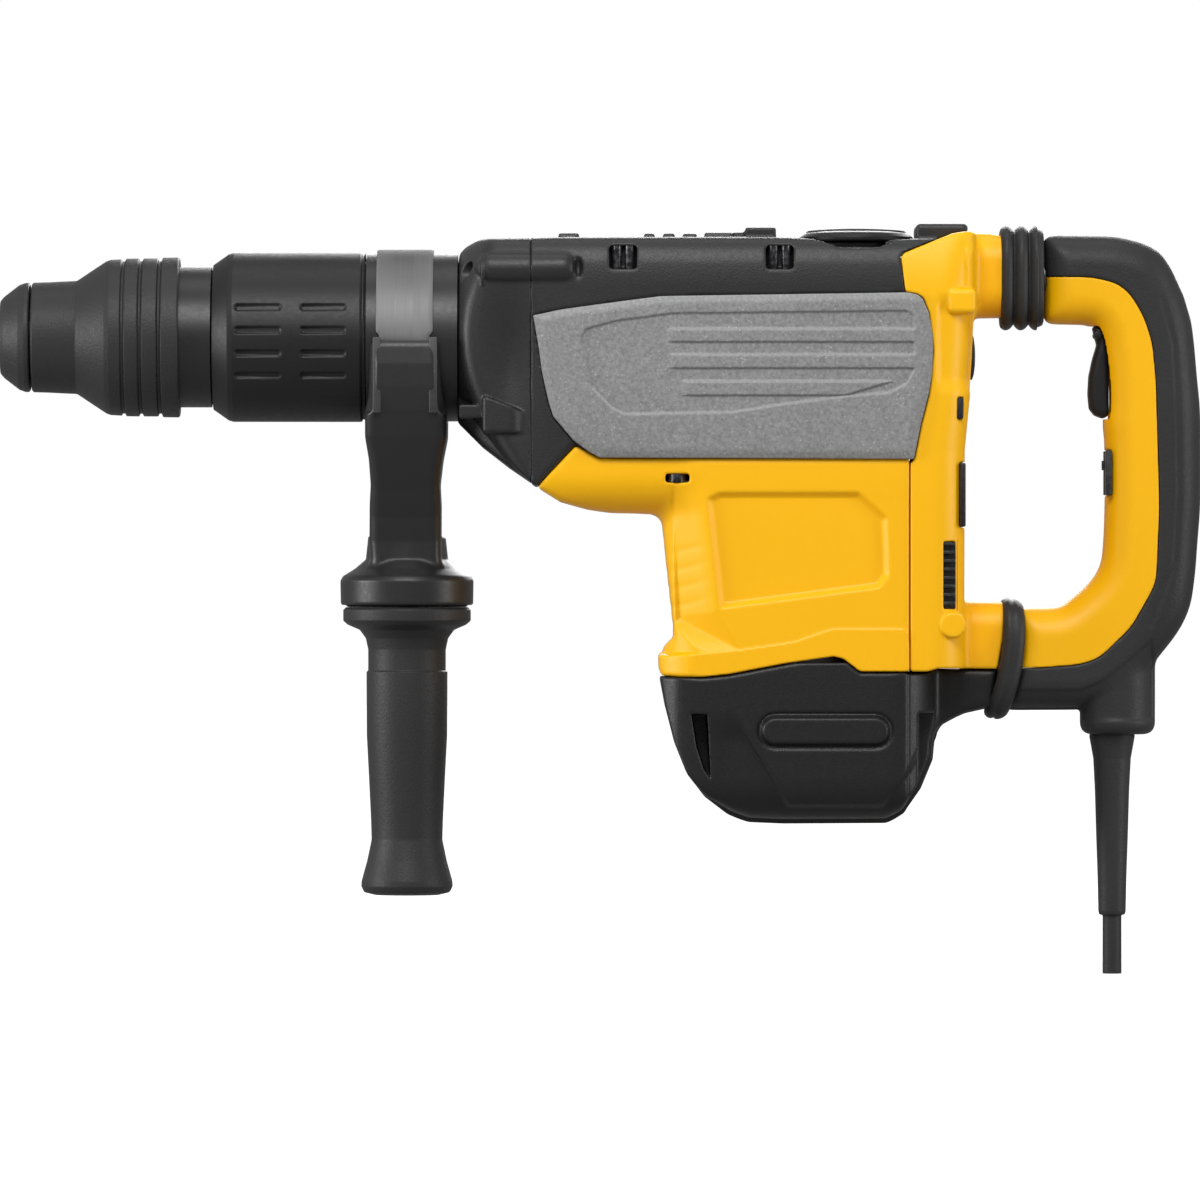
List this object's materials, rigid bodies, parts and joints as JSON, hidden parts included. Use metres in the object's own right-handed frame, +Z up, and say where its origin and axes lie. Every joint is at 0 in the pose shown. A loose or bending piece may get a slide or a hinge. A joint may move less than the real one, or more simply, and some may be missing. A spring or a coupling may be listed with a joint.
{
  "type": "rotary hammer",
  "caption": "Rotary hammer with a grooved-shank tool socket, vertical motor, crank-driven piston, side handle and floating D-shaped rear handle.",
  "frame": {"origin": "centre of the tool socket's mouth at the front face of the nose", "axes": "+X runs along the spindle from the socket's mouth to the rear handle, +Z points up away from the motor, +Y points to the right hand of a user looking forward along the tool; left in a node name means +Y, as seen facing the nose (right-handed)"},
  "size_m": [0.5994, 0.1082, 0.3742],
  "materials": {
    "yellow_plastic": "satin moulded glass-filled polyamide",
    "black_plastic": "fine-grained moulded polyamide",
    "grey_plastic": "speckled grey moulded cover with a coarse sparkle texture",
    "soft_rubber": "soft matt elastomer",
    "band_steel": "satin band steel",
    "hardened_steel": "ground hardened steel, lightly oiled",
    "bright_steel": "polished bearing steel",
    "screw_steel": "black oxide screw",
    "cast_aluminium": "die-cast aluminium",
    "lamination_steel": "varnished sheet-steel laminations",
    "copper_brass": "copper and brass electrical metal",
    "carbon": "graphite carbon",
    "control_board": "potted electronics module"
  },
  "bodies": {
    "root": {"barrel": "cast_aluminium", "barrel_sleeve": "black_plastic", "front_seal": "soft_rubber", "front_bearing": "bright_steel", "front_housing": "black_plastic", "spindle_bearing": "bright_steel", "gear_housing": "black_plastic", "side_cover_left": "grey_plastic", "side_cover_right": "grey_plastic", "housing_screws": "screw_steel", "cover_screws": "screw_steel", "bearing_bridge": "cast_aluminium", "gearcase_floor": "cast_aluminium", "gear_bearings": "bright_steel", "motor_bearings": "bright_steel", "motor_housing": "yellow_plastic", "stator": "lamination_steel", "brush_holders": "copper_brass", "carbon_brushes": "carbon", "end_cap": "black_plastic", "rear_cover": "yellow_plastic", "control_module": "control_board", "handle_pivot_pin": "bright_steel"},
    "spindle": {"tool_holder": "hardened_steel", "nose_cap": "soft_rubber", "locking_rollers": "bright_steel", "sleeve_spring": "bright_steel", "hammer_tube": "hardened_steel", "bevel_ring_gear": "hardened_steel"},
    "locking_sleeve": {"locking_sleeve": "black_plastic", "lock_ring": "hardened_steel"},
    "striker": {"striker": "hardened_steel"},
    "beat_piece": {"beat_piece": "hardened_steel"},
    "piston": {"piston": "cast_aluminium"},
    "connecting_rod": {"connecting_rod": "hardened_steel", "wrist_pin": "bright_steel"},
    "crankshaft": {"crankshaft": "hardened_steel", "crank_gear": "hardened_steel"},
    "clutch_shaft": {"clutch_gear": "hardened_steel", "bevel_pinion": "hardened_steel"},
    "armature": {"motor_shaft": "hardened_steel", "armature": "lamination_steel", "commutator": "copper_brass", "fan": "black_plastic"},
    "mode_dial": {"mode_dial": "black_plastic"},
    "speed_dial": {"speed_dial": "black_plastic"},
    "side_handle": {"clamp_band": "band_steel", "clamp_bolt": "bright_steel", "handle_yoke": "black_plastic"},
    "side_grip": {"side_grip": "black_plastic"},
    "rear_handle": {"handle_shell_left": "yellow_plastic", "handle_shell_right": "yellow_plastic", "handle_overmold": "soft_rubber", "upper_bellows": "soft_rubber", "handle_spring": "bright_steel", "switch_module": "black_plastic", "power_cord": "soft_rubber", "lower_boot": "soft_rubber"},
    "trigger": {"trigger": "black_plastic"},
    "lock_slider": {"lock_slider": "black_plastic"}
  },
  "joints": [
    {"name": "crankshaft_spin", "type": "hinge", "parent": "root", "child": "crankshaft", "pos_m": [0.35375, 0, -0.05], "axis": [0, 0, 1], "continuous": true},
    {"name": "motor_spin", "type": "hinge", "parent": "root", "child": "armature", "pos_m": [0.398, 0, -0.15], "axis": [0, 0, 1], "continuous": true},
    {"name": "clutch_spin", "type": "hinge", "parent": "root", "child": "clutch_shaft", "pos_m": [0.30575, 0, -0.05], "axis": [0, 0, 1], "continuous": true},
    {"name": "spindle_spin", "type": "hinge", "parent": "root", "child": "spindle", "pos_m": [0.2, 0, 0], "axis": [1, 0, 0], "continuous": true},
    {"name": "rod_big_end", "type": "hinge", "parent": "crankshaft", "child": "connecting_rod", "pos_m": [0.36475, 0, 0], "axis": [0, 0, 1], "continuous": true},
    {"name": "piston_stroke", "type": "slide", "parent": "root", "child": "piston", "axis": [1, 0, 0], "range_m": [-0.022, 0]},
    {"name": "striker_flight", "type": "slide", "parent": "root", "child": "striker", "axis": [1, 0, 0], "range_m": [-0.026, 0]},
    {"name": "beat_piece_travel", "type": "slide", "parent": "root", "child": "beat_piece", "axis": [1, 0, 0], "range_m": [-0.008, 0.006]},
    {"name": "locking_sleeve_pull", "type": "slide", "parent": "spindle", "child": "locking_sleeve", "axis": [1, 0, 0], "range_m": [0, 0.01], "deforming": ["sleeve_spring"]},
    {"name": "side_handle_swing", "type": "hinge", "parent": "root", "child": "side_handle", "pos_m": [0.2035, 0, 0], "axis": [1, 0, 0], "continuous": true},
    {"name": "side_grip_turn", "type": "hinge", "parent": "side_handle", "child": "side_grip", "pos_m": [0.2035, 0, -0.2], "axis": [0, 0, 1], "range_deg": [0, 180]},
    {"name": "rear_handle_float", "type": "hinge", "parent": "root", "child": "rear_handle", "pos_m": [0.504, 0, -0.161], "axis": [0, -1, 0], "range_deg": [0, 2], "deforming": ["handle_spring", "upper_bellows", "lower_boot"]},
    {"name": "trigger_pull", "type": "hinge", "parent": "rear_handle", "child": "trigger", "pos_m": [0.5485, 0, 0.001], "axis": [0, -1, 0], "range_deg": [0, 8]},
    {"name": "lock_slider_slide", "type": "slide", "parent": "rear_handle", "child": "lock_slider", "axis": [0, 0, -1], "range_m": [0, 0.008]},
    {"name": "mode_dial_turn", "type": "hinge", "parent": "root", "child": "mode_dial", "pos_m": [0.428, 0, 0.05], "axis": [0, 0, 1], "range_deg": [-90, 90]},
    {"name": "speed_dial_turn", "type": "hinge", "parent": "root", "child": "speed_dial", "pos_m": [0.485, 0, -0.0095], "axis": [1, 0, 0], "range_deg": [0, 270]}
  ],
  "couplings": [
    {"joint": "motor_spin", "follows": "crankshaft_spin", "ratio": -5.5556},
    {"joint": "clutch_spin", "follows": "crankshaft_spin", "ratio": -0.45455},
    {"joint": "spindle_spin", "follows": "crankshaft_spin", "ratio": 0.13834},
    {"joint": "rod_big_end", "follows": "crankshaft_spin", "ratio": -1}
  ]
}
